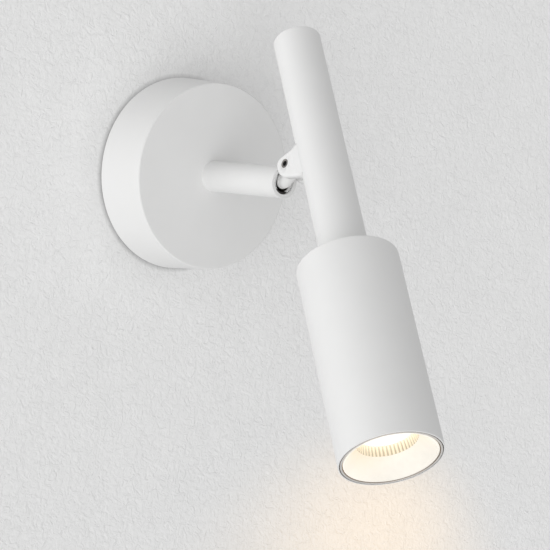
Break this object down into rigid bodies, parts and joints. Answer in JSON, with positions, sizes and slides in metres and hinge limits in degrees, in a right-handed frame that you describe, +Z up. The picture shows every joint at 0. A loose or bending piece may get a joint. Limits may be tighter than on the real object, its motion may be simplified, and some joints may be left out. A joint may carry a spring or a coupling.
{
  "type": "pivoting spotlight wall light",
  "caption": "Wall light with a round canopy, a short arm, and a cylindrical spotlight head on a slim stem that swivels about the arm and tilts on a forked knuckle.",
  "frame": {"origin": "centre of the canopy's back face, on the wall", "axes": "+Z up, +Y into the wall, the arm points along -Y, +X to the right when facing the wall"},
  "size_m": [0.1, 0.2313, 0.2182],
  "materials": {
    "white_coat": "fine matt white powder coat",
    "zinc_steel": "bright zinc plated",
    "dark_steel": "blackened steel",
    "brass": "plain turned",
    "driver_case": "moulded case",
    "terminal_plastic": "moulded, translucent white",
    "black_rubber": "moulded",
    "washer_plastic": "low-friction plastic",
    "bezel_metal": "satin turned ring",
    "baffle_white": "smooth satin white",
    "collar_plastic": "glossy, lit warm",
    "lens_diffuser": "frosted diffuser",
    "board_white": "white-faced metal-core board",
    "emitter_yellow": "phosphor-coated package",
    "bare_aluminium": "as cast and turned"
  },
  "bodies": {
    "base": {"wall_strap": "zinc_steel", "earth_washer": "brass", "earth_screw": "brass", "canopy": "white_coat", "canopy_screw_top": "zinc_steel", "canopy_screw_bottom": "zinc_steel", "led_driver": "driver_case", "terminal_block": "terminal_plastic", "nipple": "zinc_steel", "nipple_washer": "zinc_steel", "nipple_nut": "zinc_steel", "cable_grommet": "black_rubber", "arm": "white_coat", "arm_bush": "brass"},
    "swivel": {"spindle": "white_coat", "friction_washer": "washer_plastic", "spindle_clip": "zinc_steel"},
    "head": {"yoke": "white_coat", "pivot_screw": "dark_steel", "pivot_washer_left": "washer_plastic", "pivot_washer_right": "washer_plastic", "yoke_screw_left": "zinc_steel", "yoke_screw_right": "zinc_steel", "stem_tube": "white_coat", "stem_cap": "white_coat", "stem_foot": "bare_aluminium", "foot_washer": "zinc_steel", "foot_nut": "zinc_steel", "housing": "white_coat", "bezel_ring": "bezel_metal", "baffle_cone": "baffle_white", "ribbed_collar": "collar_plastic", "lens": "lens_diffuser", "mixing_ring": "baffle_white", "led_board": "board_white", "led_emitter": "emitter_yellow", "led_screw_left": "zinc_steel", "led_screw_right": "zinc_steel", "heat_sink": "bare_aluminium"}
  },
  "joints": [
    {"name": "swivel", "type": "hinge", "parent": "base", "child": "swivel", "pos_m": [0, -0.0705, 0], "axis": [0, 1, 0], "range_deg": [-170, 170]},
    {"name": "tilt", "type": "hinge", "parent": "swivel", "child": "head", "pos_m": [0, -0.09395, 0.0079], "axis": [1, 0, 0], "range_deg": [-34, 60]}
  ]
}
